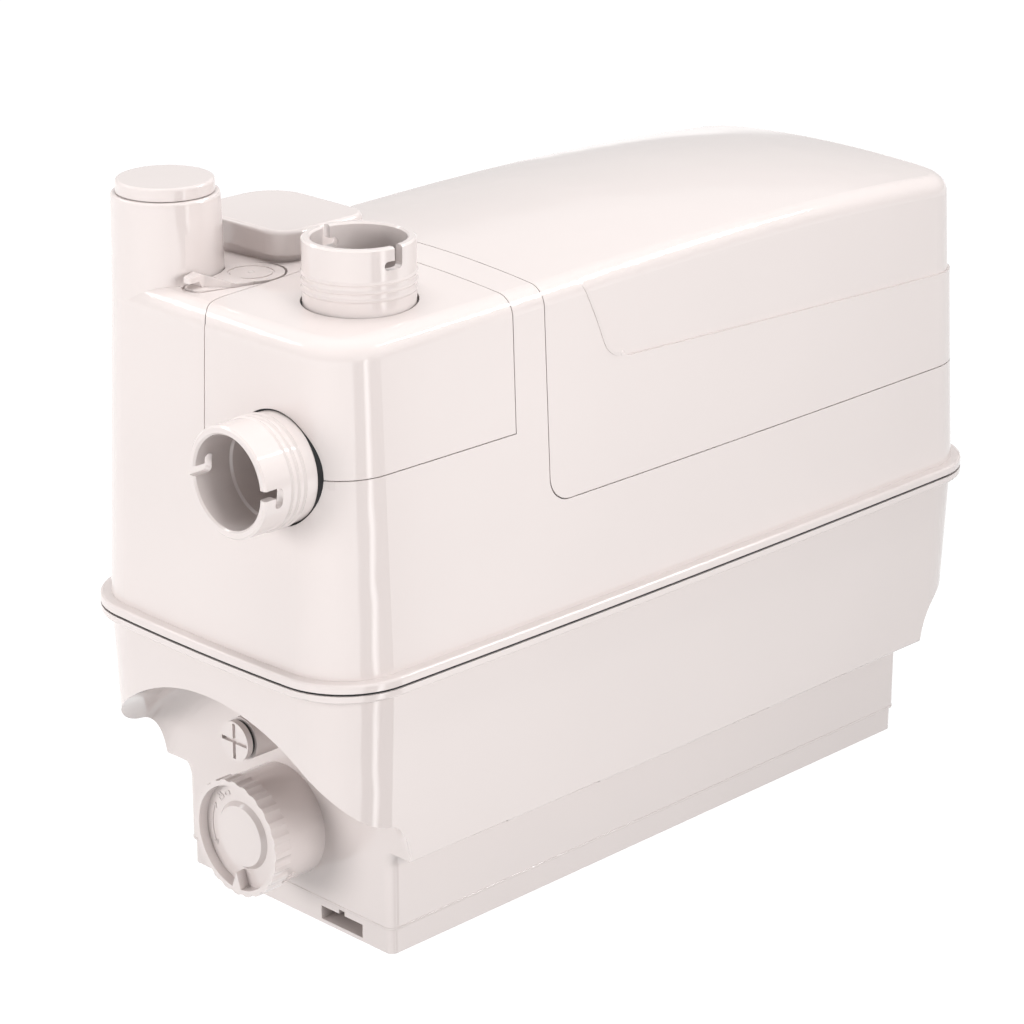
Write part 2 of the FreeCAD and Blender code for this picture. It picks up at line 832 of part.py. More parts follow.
def make_socket_end():
    """End socket, with the two ears that carry the flap's pin on its inner end."""
    body = make_socket(branch_end - end_mouth - socket_shoulder, end_tube_inner - end_mouth)
    body.rotate(V(0, 0, 0), V(0, 1, 0), -90)
    body.translate(V(end_mouth, end_axis[0], end_axis[1]))
    y, z = end_axis
    pin_x, pin_z = flap_pin()
    for side in (-1, 1):
        y0 = y + side * (flap_arm_half + 0.5 + flap_ear / 2) - flap_ear / 2
        ear = box(end_tube_inner - 5, pin_x, y0, y0 + flap_ear, z + flap_radius + 0.3, pin_z + flap_ear)
        ear = ear.fuse(tube_y((pin_x, pin_z), y0, y0 + flap_ear, flap_ear))
        eye = tube_y((pin_x, pin_z), y0 - 1, y0 + flap_ear + 1, flap_pin_radius + fit_gap)
        body = body.fuse(ear.cut(eye))
    return body


def make_seal_top():
    """Black ring in the hole of the top socket, a little below the surface."""
    high = top_level(*top_axis) - seal_depth
    return tube_z(top_axis, high - 3.5, high, hole_radius - fit_gap, socket_radius)


def make_seal_end():
    low = end_face() + seal_depth
    return tube_x(end_axis, low, low + 3.5, hole_radius - fit_gap, socket_radius)


def make_manifold():
    axis = manifold_axis
    high = manifold_top()
    body = tube_z(axis, plate_top, high, manifold_radius)
    branch = tube_x(end_axis, branch_end, axis[0], branch_radius)
    inner_radius = manifold_radius - manifold_wall
    body = body.fuse(branch)
    body = body.fuse(tube_z(axis, plate_top, plate_top + 3, manifold_radius + 2))
    body = body.cut(tube_z(axis, plate_top, high - wall, inner_radius))
    body = body.cut(tube_x(end_axis, branch_end, axis[0], socket_tube_radius + fit_gap))
    return body.cut(tube_z(top_axis, high - wall - 1, high + 1, socket_tube_radius + fit_gap))


def flap_pin():
    """Place of the flap's pin in X and Z."""
    return end_tube_inner + free_gap + flap_thickness / 2, end_axis[1] + flap_pin_rise


def make_flap():
    """End inlet flap hanging from its pin, with its face against the tube's end."""
    y, z = end_axis
    pin_x, pin_z = flap_pin()
    x0 = end_tube_inner + free_gap
    disc = tube_x(end_axis, x0, x0 + flap_thickness, flap_radius)
    knuckle = tube_y((pin_x, pin_z), y - flap_arm_half, y + flap_arm_half, flap_pin_radius + 1.1)
    arm = box(x0, x0 + flap_thickness, y - flap_arm_half, y + flap_arm_half, z + flap_radius - 5, pin_z)
    pin = tube_y((pin_x, pin_z), y - flap_pin_half, y + flap_pin_half, flap_pin_radius)
    return disc.fuse(arm).fuse(knuckle).fuse(pin)


# Caps, plugs and lids


def make_drain_cap():
    axis = (0, neck_level)
    back = neck_end - free_gap
    body = tube_x(axis, cap_front, back, cap_radius)
    for index in range(cap_scallops):
        angle = 2 * math.pi * (index + 0.5) / cap_scallops
        reach = cap_radius - cap_scallop_depth + cap_scallop_radius
        groove = tube_x((reach * math.cos(angle), neck_level + reach * math.sin(angle)),
                        cap_front - 1, back + 1, cap_scallop_radius)
        body = body.cut(groove)
    recess = tube_x(axis, cap_front, cap_front + cap_recess_depth, cap_recess_radius)
    boss = Part.makeCone(cap_boss_radius - 1.5, cap_boss_radius, cap_recess_depth - cap_boss_depth,
                         V(cap_front + cap_boss_depth, 0, neck_level), V(1, 0, 0))
    pointer_points = [V(cap_front, -2.6, neck_level - cap_recess_radius - 0.5),
                      V(cap_front, 2.6, neck_level - cap_recess_radius - 0.5),
                      V(cap_front, 0, neck_level - cap_boss_radius - 0.5)]
    pointer = prism(Part.makePolygon(pointer_points + [pointer_points[0]]), V(cap_recess_depth, 0, 0))
    body = body.cut(recess.cut(boss).cut(pointer))
    floor = cap_front + cap_recess_depth + cap_floor
    body = body.cut(tube_x(axis, floor, back + 1, spigot_radius + free_gap))
    stem_end = neck_end + 7.0
    body = body.fuse(tube_x(axis, floor, stem_end, neck_bore - 1.8))
    groove = tube_x(axis, stem_end - 3.5, stem_end - 1.5, neck_bore, neck_bore - 3)
    body = body.cut(groove)
    seal = tube_x(axis, stem_end - 3.5, stem_end - 1.5, neck_bore - fit_gap, neck_bore - 3)
    return body, seal


def make_test_screw():
    axis = (0, screw_level)
    washer = 1.2
    seat = screw_boss_end - washer - free_gap
    body = tube_x(axis, screw_front, seat, screw_head_radius)
    half = screw_slot / 2
    reach = screw_head_radius - 0.8
    deep = screw_front + 1.6
    for y, z in ((half, reach), (reach, half)):
        body = body.cut(box(screw_front - 1, deep, -y, y, screw_level - z, screw_level + z))
    body = body.fuse(tube_x(axis, seat, screw_shank_end, screw_shank_radius))
    seal = tube_x(axis, seat, seat + washer, screw_head_radius - 0.5, screw_shank_radius)
    return body, seal


def make_release_plug():
    """Round plug with a wedge that rises to an overhanging pull tab, on a thin teardrop plate."""
    bottom = plug_floor() + free_gap
    disc_top = bottom + plug_thickness
    tab_top = bottom + tab_height
    tab_low = tab_top - tab_thickness
    plate = teardrop(0, bottom, bottom + plug_plate)
    disc = tube_z(plug_axis, bottom, disc_top, plug_radius)
    disc = disc.cut(tube_z(plug_axis, disc_top - 0.4, disc_top, plug_ring, plug_ring - 0.8))
    left = tab_x - tab_half - tab_overhang
    turn = left + tab_length
    foot = plug_axis[0] - lever_reach
    right = plug_axis[0] - plug_radius * 0.6
    profile = [V(right, -beyond, bottom), V(right, -beyond, disc_top), V(foot, -beyond, disc_top),
               V(turn, -beyond, tab_top), V(left, -beyond, tab_top), V(left, -beyond, tab_low),
               V(turn - 2, -beyond, tab_low), V(turn, -beyond, bottom)]
    side = prism(Part.makePolygon(profile + [profile[0]]), V(0, 2 * beyond, 0))
    near = tab_y - tab_width / 2
    far = near + tab_width
    corners = [V(right, plug_axis[1] - plug_radius * 0.8, bottom),
               V(foot, plug_axis[1] - lever_side, bottom), V(turn, near + 0.7, bottom),
               V(left, near, bottom), V(left, far, bottom), V(turn, far + 3, bottom),
               V(right, plug_axis[1] + plug_radius * 0.8, bottom)]
    wire = rounded_outline(corners, [0, 2, 2, 0.8, 0.8, 3, 0])
    inside = teardrop(0, bottom, tab_top).fuse(box(left - 1, turn, near - 1, far + 3, tab_low, tab_top))
    wedge = side.common(prism(wire, V(0, 0, tab_height))).common(inside)
    shank = tube_z(plug_axis, valve_high - sleeve_depth, bottom, plug_shank)
    body = plate.fuse(disc).fuse(wedge).fuse(shank)
    return body.cut(tower_body(free_gap * 2))


def make_tower_cap():
    low = tower_top + free_gap
    body = tube_z(tower_axis, low, tower_cap_top, tower_cap_radius)
    body = body.makeFillet(1.2, level_edges(body, tower_cap_top))
    return body.cut(tube_z(tower_axis, low, discharge_end + free_gap, discharge_radius + free_gap))


def make_vent_lid():
    low = lid_bottom()
    high = lid_top()
    body = lid_outline(0, low, high, lid_far)
    body = body.makeFillet(lid_edge_radius, level_edges(body, high))
    return body.cut(lid_outline(lid_wall, low, high - lid_wall, collar_far + free_gap))


def make_filter():
    gap = lid_wall + free_gap + collar_wall + free_gap
    low = cup_low() + cup_floor
    return lid_outline(gap, low, low + filter_height, collar_far - collar_wall - free_gap)


# Pump


def volute_wire(grow, z):
    """Spiral of four quarter turns whose radius grows towards the outlet."""
    edges = []
    centre_x = pump_x
    centre_y = 0.0
    radius = volute_radius + grow
    start = 90.0
    for index in range(4):
        angles = [math.radians(start + step) for step in (0, 45, 90)]
        points = [V(centre_x + radius * math.cos(a), centre_y + radius * math.sin(a), z) for a in angles]
        edges.append(Part.Arc(*points).toShape())
        end = angles[2]
        centre_x -= volute_growth * math.cos(end)
        centre_y -= volute_growth * math.sin(end)
        radius += volute_growth
        start += 90.0
    last = edges[-1].Vertexes[1].Point
    first = edges[0].Vertexes[0].Point
    edges.append(Part.LineSegment(last, first).toShape())
    return Part.Wire(edges)


def outlet_x():
    return pump_x - volute_radius - 21.0


def outlet_y():
    return volute_radius + volute_growth * 2 - pipe_bore - 2.0


def outlet_z():
    return pump_floor + volute_height / 2


def make_volute():
    top = pump_floor + volute_height
    axis = (pump_x, 0)
    body = prism(volute_wire(volute_wall, pump_floor), V(0, 0, volute_height))
    stub = tube_x((outlet_y(), outlet_z()), outlet_x(), pump_x, pipe_radius)
    body = body.fuse(stub)
    body = body.fuse(tube_z(axis, pump_floor - 1.5, pump_floor, 20))
    cavity = prism(volute_wire(0, pump_floor + volute_wall), V(0, 0, volute_height))
    body = body.cut(cavity)
    body = body.cut(tube_x((outlet_y(), outlet_z()), outlet_x() - 1, pump_x, pipe_bore))
    return body.cut(tube_z(axis, pump_floor - 2, top, 14))


def make_volute_cover():
    top = pump_floor + volute_height
    axis = (pump_x, 0)
    body = prism(volute_wire(volute_wall, top), V(0, 0, 3))
    body = body.fuse(tube_z(axis, top, top + 9, 17))
    body = body.cut(tube_z(axis, top, top + 2, shaft_radius + 1))
    body = body.cut(tube_z(axis, top + 2, top + 9, seal_radius))
    return body.cut(tube_z(axis, top + 8, top + 9, column_bore))


def make_strainer():
    axis = (pump_x, 0)
    low = tray_height + wall
    body = tube_z(axis, low, pump_floor - 1.5, 20, 17)
    for index in range(8):
        tooth = box(0, 30, -3.5, 3.5, low + 1.5, pump_floor - 4)
        tooth.rotate(V(0, 0, 0), V(0, 0, 1), index * 45)
        tooth.translate(V(pump_x, 0, 0))
        body = body.cut(tooth)
    return body


def make_impeller():
    axis = (pump_x, 0)
    disc_low = impeller_low + impeller_vane_height
    body = tube_z(axis, disc_low, disc_low + impeller_disc, impeller_radius)
    body = body.fuse(tube_z(axis, impeller_low, disc_low, 8))
    for index in range(impeller_vanes):
        inner = V(7, 0, impeller_low)
        middle = V(19, 6.5, impeller_low)
        outer = V(impeller_radius - 0.2, 0.5, impeller_low)
        offset = V(0, 2.0, 0)
        edges = [Part.Arc(inner, middle, outer).toShape(),
                 Part.LineSegment(outer, outer + offset).toShape(),
                 Part.Arc(outer + offset, middle + offset, inner + offset).toShape(),
                 Part.LineSegment(inner + offset, inner).toShape()]
        vane = prism(Part.Wire(edges), V(0, 0, impeller_vane_height))
        vane = vane.common(Part.makeCylinder(impeller_radius, 60))
        vane.rotate(V(0, 0, 0), V(0, 0, 1), index * 360 / impeller_vanes)
        vane.translate(V(pump_x, 0, 0))
        body = body.fuse(vane)
    return body.cut(tube_z(axis, impeller_low - 1, disc_low + impeller_disc + 1, shaft_radius))


def make_column():
    axis = (pump_x, 0)
    low = pump_floor + volute_height + 9
    body = tube_z(axis, low, plate_bottom, column_radius)
    body = body.fuse(tube_z(axis, plate_bottom - 3, plate_bottom, flange_radius))
    return body.cut(tube_z(axis, low, plate_bottom, column_bore))


# Motor


def make_motor():
    axis = (pump_x, 0)
    low = plate_top
    shelf = low + motor_height
    housing = tube_z(axis, low, low + motor_flange, motor_flange_radius)
    housing = housing.fuse(tube_z(axis, low, shelf, motor_radius))
    housing = housing.cut(tube_z(axis, low + motor_flange + bearing_width, shelf, motor_radius - motor_wall))
    housing = housing.cut(tube_z(axis, low + motor_flange, shelf, bearing_radius))
    housing = housing.cut(tube_z(axis, low, shelf, shaft_radius + 2))
    cap = tube_z(axis, shelf, shelf + wall, motor_radius)
    cap = cap.fuse(tube_z(axis, shelf - 2, shelf + 11, 17))
    cap = cap.fuse(tube_z(axis, shelf + wall, shelf + 9, 28))
    cap = cap.cut(tube_z(axis, shelf - 2, shelf - 2 + bearing_width, bearing_radius))
    cap = cap.cut(tube_z(axis, shelf - 2, shelf + 8.5, shaft_radius + 1))
    holes = screw_positions()
    for x, y in holes:
        housing = housing.cut(tube_z((x, y), low - 1, low + motor_flange + 1, 2.6))
    stator_low = low + motor_flange + bearing_width + 6
    stator_high = shelf - 12
    stator = tube_z(axis, stator_low, stator_high, motor_radius - motor_wall, stator_bore)
    rotor = tube_z(axis, stator_low - 2, stator_high + 2, rotor_radius, shaft_radius)
    shaft = tube_z(axis, impeller_low - 1, shelf + 8, shaft_radius)
    race = shaft_radius + fit_gap
    lower = tube_z(axis, low + motor_flange, low + motor_flange + bearing_width, bearing_radius, race)
    upper = tube_z(axis, shelf - 2, shelf - 2 + bearing_width, bearing_radius, race)
    return housing, cap, stator, rotor, shaft, lower, upper


def screw_positions():
    spots = []
    for index in range(4):
        angle = math.radians(45 + 90 * index)
        spots.append((pump_x + screw_circle * math.cos(angle), screw_circle * math.sin(angle)))
    return spots


def make_motor_screws():
    head_low = plate_top + motor_flange
    solids = []
    for x, y in screw_positions():
        head = tube_z((x, y), head_low, head_low + 3, 4.0)
        head = head.cut(tube_z((x, y), head_low + 1.2, head_low + 3, 2.0))
        solids.append(head.fuse(tube_z((x, y), plate_bottom, head_low, 2.5)))
    return Part.makeCompound(solids)


# Inside pieces of the tank and the dry space


def make_plate():
    axis = (pump_x, 0)
    body = slab(plate_bottom, plate_top, plate_inset)
    body = body.cut(tube_z(axis, plate_bottom, plate_top, shaft_radius + 2))
    body = body.cut(tube_z(level_pipe_axis, plate_bottom, plate_top, level_pipe_radius + 0.2))
    body = body.cut(tube_z(tower_axis, plate_bottom, plate_top, pipe_radius + 0.2))
    body = body.cut(tube_z(manifold_axis, plate_bottom, plate_top, manifold_radius - manifold_wall - 2))
    for x, y in screw_positions():
        body = body.cut(tube_z((x, y), plate_bottom - 1, plate_top + 1, 2.6))
    for x in (board_left + 5, board_right - 5):
        for y in (5 - board_half, board_half - 5):
            body = body.fuse(tube_z((x, y), plate_top, plate_top + standoff_height, 3))
    return body


def pipe_route(points, bend):
    """Straight runs joined by tangent arcs."""
    edges = []
    start = points[0]
    for index in range(1, len(points) - 1):
        here = points[index]
        before = (points[index - 1] - here).normalize()
        after = (points[index + 1] - here).normalize()
        half = before.getAngle(after) / 2
        reach = bend / math.tan(half)
        centre = here + (before + after).normalize() * (bend / math.sin(half))
        middle = centre + (here - centre).normalize() * bend
        edges.append(Part.LineSegment(start, here + before * reach).toShape())
        edges.append(Part.Arc(here + before * reach, middle, here + after * reach).toShape())
        start = here + after * reach
    edges.append(Part.LineSegment(start, points[-1]).toShape())
    return Part.Wire(edges)


def sweep(route, radius):
    """Round bar along a route."""
    first = route.Edges[0]
    start = first.valueAt(first.FirstParameter)
    along = first.tangentAt(first.FirstParameter)
    circle = Part.Wire(Part.Circle(start, along, radius).toShape())
    return route.makePipeShell([circle], True, False)


def make_discharge_pipe():
    tower = V(tower_axis[0], tower_axis[1], 0)
    points = [
        V(outlet_x(), outlet_y(), outlet_z()),
        V(pipe_rise_x, outlet_y(), outlet_z()),
        V(pipe_rise_x, outlet_y(), pipe_cross_level),
        tower + V(0, 0, pipe_cross_level),
        tower + V(0, 0, valve_low),
    ]
    route = pipe_route(points, pipe_bend)
    return sweep(route, pipe_radius).cut(sweep(route, pipe_bore))


def make_valve():
    """Check valve body under the tower, with the sleeve of the release plug beside it."""
    body = tube_z(tower_axis, valve_low, valve_high, valve_radius)
    sleeve_low = valve_high - sleeve_depth - free_gap - 2
    sleeve = tube_z(plug_axis, sleeve_low, valve_high, plug_shank + free_gap + sleeve_wall)
    direction = V(plug_axis[0] - tower_axis[0], plug_axis[1] - tower_axis[1], 0)
    bridge = Part.makeBox(direction.Length, 12, 16, V(0, -6, sleeve_low))
    bridge.rotate(V(0, 0, 0), V(0, 0, 1), math.degrees(math.atan2(direction.y, direction.x)))
    bridge.translate(V(tower_axis[0], tower_axis[1], 0))
    body = body.fuse(bridge).fuse(sleeve)
    body = body.fuse(tube_z(tower_axis, valve_high, discharge_end, discharge_radius))
    body = body.cut(tube_z(tower_axis, valve_low + valve_floor, valve_high - 2, valve_cavity))
    body = body.cut(tube_z(tower_axis, valve_high - 3, discharge_end + 1, discharge_bore))
    body = body.cut(tube_z(tower_axis, valve_low, valve_low + valve_floor + 1, pipe_bore - 0.5))
    body = body.cut(tube_z(plug_axis, sleeve_low + 2, valve_high + 1, plug_shank + free_gap))
    pin_x, pin_z = valve_pin()
    y = tower_axis[1]
    for side in (-1, 1):
        y0 = y + side * 5.0 - 1.2
        ear = box(pin_x - 2, pin_x + 2, y0, y0 + 2.4, valve_low + valve_floor - 0.5, pin_z + 2)
        ear = ear.cut(tube_y((pin_x, pin_z), y0 - 1, y0 + 4, valve_pin_radius + fit_gap))
        body = body.fuse(ear.common(tube_z(tower_axis, valve_low, valve_high, valve_cavity + 0.5)))
    return body


def valve_pin():
    """Place of the check flap's pin in X and Z."""
    return tower_axis[0] + valve_flap_offset, valve_low + valve_floor + free_gap + valve_pin_radius


def make_check_flap():
    pin_x, pin_z = valve_pin()
    y = tower_axis[1]
    half = valve_pin_radius
    flap = tube_z(tower_axis, pin_z - half, pin_z + half, valve_flap_radius)
    flap = flap.cut(box(pin_x - 3.6, pin_x + 10, y - 20, y + 20, pin_z - 3, pin_z + 3))
    flap = flap.fuse(box(pin_x - 4, pin_x, y - 3.4, y + 3.4, pin_z - half, pin_z + half))
    return flap.fuse(tube_y((pin_x, pin_z), y - valve_pin_half, y + valve_pin_half, valve_pin_radius))


def make_level_pipe():
    axis = level_pipe_axis
    body = tube_z(axis, level_pipe_low, plate_top + 2, level_pipe_radius)
    body = body.fuse(tube_z(axis, plate_top, plate_top + 2, level_pipe_radius + 6))
    return body.cut(tube_z(axis, level_pipe_low, plate_top + 2, level_pipe_radius - level_pipe_wall))


def make_pressure_switch():
    axis = level_pipe_axis
    low = plate_top + 2
    body = tube_z(axis, low, low + 6, level_pipe_radius + 4)
    body = body.fuse(tube_z(axis, low + 6, low + 18, level_pipe_radius))
    for side in (-1, 0, 1):
        x = axis[0] + side * 6
        body = body.fuse(box(x - 0.4, x + 0.4, axis[1] - 3, axis[1] + 3, low + 18, low + 25))
    return body


def make_capacitor():
    axis = capacitor_axis
    body = tube_z(axis, plate_top, plate_top + capacitor_height, capacitor_radius)
    body = body.makeFillet(2.0, level_edges(body, plate_top + capacitor_height))
    for side in (-1, 1):
        x = axis[0] + side * 6
        top = plate_top + capacitor_height
        body = body.fuse(box(x - 0.4, x + 0.4, axis[1] - 3, axis[1] + 3, top, top + 7))
    return body


def make_board():
    low = plate_top + standoff_height
    top = low + board_thickness
    body = box(board_left, board_right, -board_half, board_half, low, top)
    parts = [(6, 16, -30, 18, 16), (26, 12, -30, 16, 11), (8, 26, 4, 10, 12), (8, 8, 22, 8, 20)]
    for start, long, y, wide, height in parts:
        x = board_left + start
        body = body.fuse(box(x, x + long, y, y + wide, top, top + height))
    return body


def make_gland():
    outside = gland_face()
    inside = outside - wall - 2
    axis = (0, gland_level)
    body = tube_x(axis, outside, outside + 4, gland_radius)
    start = V(outside + 4, 0, gland_level)
    body = body.fuse(Part.makeCone(gland_radius - 2, gland_bore + 2, 9, start, V(1, 0, 0)))
    body = body.fuse(tube_x(axis, inside - 3, outside + 4, gland_thread))
    body = body.fuse(tube_x(axis, inside - 3, inside, gland_radius))
    return body.cut(tube_x(axis, inside - 5, outside + 20, gland_bore))


def make_shaft_seal():
    top = pump_floor + volute_height
    return tube_z((pump_x, 0), top + 2, top + 7, seal_radius, shaft_radius + fit_gap)


# Every piece, written to its file

save("tank", make_tank())
save("base_tray", make_tray())
save("rim_seal", make_rim_seal())
save("tank_lid", make_plate())

upper_cover, motor_cover, corner_panel = make_covers()
save("upper_cover", upper_cover)
save("motor_cover", motor_cover)
save("corner_panel", corner_panel)

save("inlet_socket_top", make_socket_top())
save("inlet_socket_end", make_socket_end())
save("socket_seal_top", make_seal_top())
save("socket_seal_end", make_seal_end())
save("inlet_manifold", make_manifold())
save("inlet_flap", make_flap())

drain_cap, drain_cap_seal = make_drain_cap()
save("drain_cap", drain_cap)
save("drain_cap_seal", drain_cap_seal)
test_screw, test_screw_seal = make_test_screw()
save("test_screw", test_screw)
save("test_screw_seal", test_screw_seal)
save("release_plug", make_release_plug())
save("tower_cap", make_tower_cap())
save("vent_lid", make_vent_lid())
save("carbon_filter", make_filter())

save("inlet_strainer", make_strainer())
save("pump_volute", make_volute())
save("volute_cover", make_volute_cover())
save("impeller", make_impeller())
save("pump_column", make_column())
save("shaft_seal", make_shaft_seal())

housing, end_cap, stator, rotor, shaft, bearing_lower, bearing_upper = make_motor()
save("motor_housing", housing)
save("motor_end_cap", end_cap)
save("stator", stator)
save("rotor", rotor)
save("pump_shaft", shaft)
save("bearing_lower", bearing_lower)
save("bearing_upper", bearing_upper)
save("motor_screws", make_motor_screws())

save("discharge_pipe", make_discharge_pipe())
save("check_valve_body", make_valve())
save("check_flap", make_check_flap())
save("level_pipe", make_level_pipe())
save("pressure_switch", make_pressure_switch())
save("capacitor", make_capacitor())
save("control_board", make_board())
save("cable_gland", make_gland())
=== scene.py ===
import bmesh
import bpy
import math
from mathutils import Matrix, Vector
from mathutils.bvhtree import BVHTree


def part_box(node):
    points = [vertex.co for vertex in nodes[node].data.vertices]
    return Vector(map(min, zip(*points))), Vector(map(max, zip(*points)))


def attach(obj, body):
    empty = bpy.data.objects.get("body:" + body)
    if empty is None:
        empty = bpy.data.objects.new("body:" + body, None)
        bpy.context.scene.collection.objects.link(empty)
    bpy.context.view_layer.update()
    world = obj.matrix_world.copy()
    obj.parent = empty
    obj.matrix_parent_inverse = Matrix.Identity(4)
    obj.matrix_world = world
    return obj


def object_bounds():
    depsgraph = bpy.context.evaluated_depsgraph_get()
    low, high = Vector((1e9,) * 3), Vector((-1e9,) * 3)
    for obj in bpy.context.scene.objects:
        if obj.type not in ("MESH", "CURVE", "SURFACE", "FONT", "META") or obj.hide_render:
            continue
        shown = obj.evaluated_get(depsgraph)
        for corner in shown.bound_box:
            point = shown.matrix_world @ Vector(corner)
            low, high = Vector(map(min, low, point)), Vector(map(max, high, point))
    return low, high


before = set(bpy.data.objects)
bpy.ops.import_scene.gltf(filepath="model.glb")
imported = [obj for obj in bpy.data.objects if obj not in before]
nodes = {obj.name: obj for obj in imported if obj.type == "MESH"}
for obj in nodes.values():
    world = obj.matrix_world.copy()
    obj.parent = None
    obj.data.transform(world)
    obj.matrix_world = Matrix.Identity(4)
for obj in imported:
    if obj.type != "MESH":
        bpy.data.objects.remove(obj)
cad_low, cad_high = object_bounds()

# Colours, as linear values
OFF_WHITE = (0.655, 0.59, 0.572)
INNER_GREY = (0.42, 0.43, 0.44)
PUMP_GREY = (0.10, 0.105, 0.11)
RUBBER_BLACK = (0.012, 0.012, 0.013)
PLASTIC_BLACK = (0.02, 0.02, 0.022)
ALUMINIUM = (0.62, 0.62, 0.63)
STEEL = (0.50, 0.50, 0.52)
BOARD_GREEN = (0.02, 0.12, 0.05)
FOAM_BLACK = (0.02, 0.02, 0.02)

# Values that a noise mostly keeps between
NOISE_LOW = 0.3
NOISE_HIGH = 0.7

# Edges that turn by more degrees than this keep a hard line in the shading
HARD_EDGE = 34.0

# How deep a moulded detail is rooted in the face that it stands on
ROOT = 0.0002

# Height of the drain cap's axis
CAP_LEVEL = 0.038

# Axis of the cover's rounded corner by the end socket, and the corner's radius
COVER_CORNER = (-0.1553, -0.0465)
COVER_CORNER_RADIUS = 0.0245

# Plinth of the tank: its two ends, its half width, its corner radius, and the level of the bead at its foot
PLINTH_LEFT = -0.1455
PLINTH_RIGHT = 0.1519
PLINTH_HALF_WIDTH = 0.058
PLINTH_CORNER = 0.004
BEAD_LEVEL = 0.0108

# Half size of the floor, and how far below the object its seen face and its lighting face lie
FLOOR_HALF = 12.0
FLOOR_DEPTH = 0.0001
BOUNCE_DEPTH = 0.0006

# Brightness of the floor, and of the light that it returns at its left and right, and where that fades in X
FLOOR_GLOW = 0.96
BOUNCE_LEFT = 0.72
BOUNCE_RIGHT = 0.1
BOUNCE_FROM = -0.35
BOUNCE_TO = 0.30

# Brightness of the surroundings: low and high in the sky, before the object as a share, and underneath
WORLD_LOW = 0.62
WORLD_HIGH = 0.75
WORLD_FRONT = 0.4
WORLD_BELOW = 1.15

# Where the sky turns from low to high, as the Z of a direction, and from before to behind, as its X + Y
SKY_EDGE = (0.335, 0.345)
FRONT_EDGE = (-0.5, 0.2)

# Bars on the ground: where each starts and ends, in degrees from -X by way of -Y, and its brightness, and
# how far their edges fade to each side
BARS = [(71.4, 91.0, 0.0), (93.0, 99.6, 2.4), (103.2, 129.5, 0.0)]
BAR_BLUR = 0.4

# Camera, as fitted to the photograph: turn from +X and tilt down in degrees, place, focal length, sensor
CAMERA_TURN = 44.822
CAMERA_TILT = 20.317
CAMERA_PLACE = (-0.910763, -0.881691, 0.593005)
CAMERA_LENS = 118.76
CAMERA_SENSOR = 36.0


# Node helpers


def new_material(name):
    material = bpy.data.materials.new(name)
    material.use_nodes = True
    tree = material.node_tree
    tree.nodes.clear()
    output = tree.nodes.new("ShaderNodeOutputMaterial")
    shader = tree.nodes.new("ShaderNodeBsdfPrincipled")
    tree.links.new(shader.outputs["BSDF"], output.inputs["Surface"])
    return material, tree, shader


def noise(tree, scale, detail=3.0, rough=0.5, stretch=None):
    """Noise in object space, whose scale is in features per metre."""
    place = tree.nodes.new("ShaderNodeTexCoord")
    texture = tree.nodes.new("ShaderNodeTexNoise")
    texture.inputs["Scale"].default_value = scale
    texture.inputs["Detail"].default_value = detail
    texture.inputs["Roughness"].default_value = rough
    if stretch:
        mapping = tree.nodes.new("ShaderNodeMapping")
        mapping.inputs["Scale"].default_value = stretch
        tree.links.new(place.outputs["Object"], mapping.inputs["Vector"])
        tree.links.new(mapping.outputs["Vector"], texture.inputs["Vector"])
    else:
        tree.links.new(place.outputs["Object"], texture.inputs["Vector"])
    return texture.outputs["Fac"]


def ramp(tree, value, stops):
    """Colour ramp over a value, from (position, colour) pairs."""
    node = tree.nodes.new("ShaderNodeValToRGB")
    elements = node.color_ramp.elements
    while len(elements) < len(stops):
        elements.new(0.5)
    for element, (position, colour) in zip(elements, stops):
        element.position = position
        element.color = (colour[0], colour[1], colour[2], 1.0)
    tree.links.new(value, node.inputs["Fac"])
    return node.outputs["Color"]


def remap(tree, value, old, new):
    """Maps a value from one range to another, and keeps it inside."""
    node = tree.nodes.new("ShaderNodeMapRange")
    node.inputs["From Min"].default_value = old[0]
    node.inputs["From Max"].default_value = old[1]
    node.inputs["To Min"].default_value = new[0]
    node.inputs["To Max"].default_value = new[1]
    tree.links.new(value, node.inputs["Value"])
    return node.outputs["Result"]


def spread(tree, value, low, high):
    """Maps a noise to a range of values."""
    return remap(tree, value, (NOISE_LOW, NOISE_HIGH), (low, high))


def combine(tree, operation, first, second):
    """Sum of two values, or the angle that they make, by the name of the operation."""
    node = tree.nodes.new("ShaderNodeMath")
    node.operation = operation
    tree.links.new(first, node.inputs[0])
    tree.links.new(second, node.inputs[1])
    return node.outputs["Value"]


def bump(tree, shader, height, strength, distance, before=None):
    """Surface relief, on top of an earlier one if it is given."""
    node = tree.nodes.new("ShaderNodeBump")
    node.inputs["Strength"].default_value = strength
    node.inputs["Distance"].default_value = distance
    tree.links.new(height, node.inputs["Height"])
    if before:
        tree.links.new(before, node.inputs["Normal"])
    tree.links.new(node.outputs["Normal"], shader.inputs["Normal"])
    return node.outputs["Normal"]


def shade(colour, factor):
    return tuple(channel * factor for channel in colour)


def grey(level):
    return (level, level, level)


# Materials


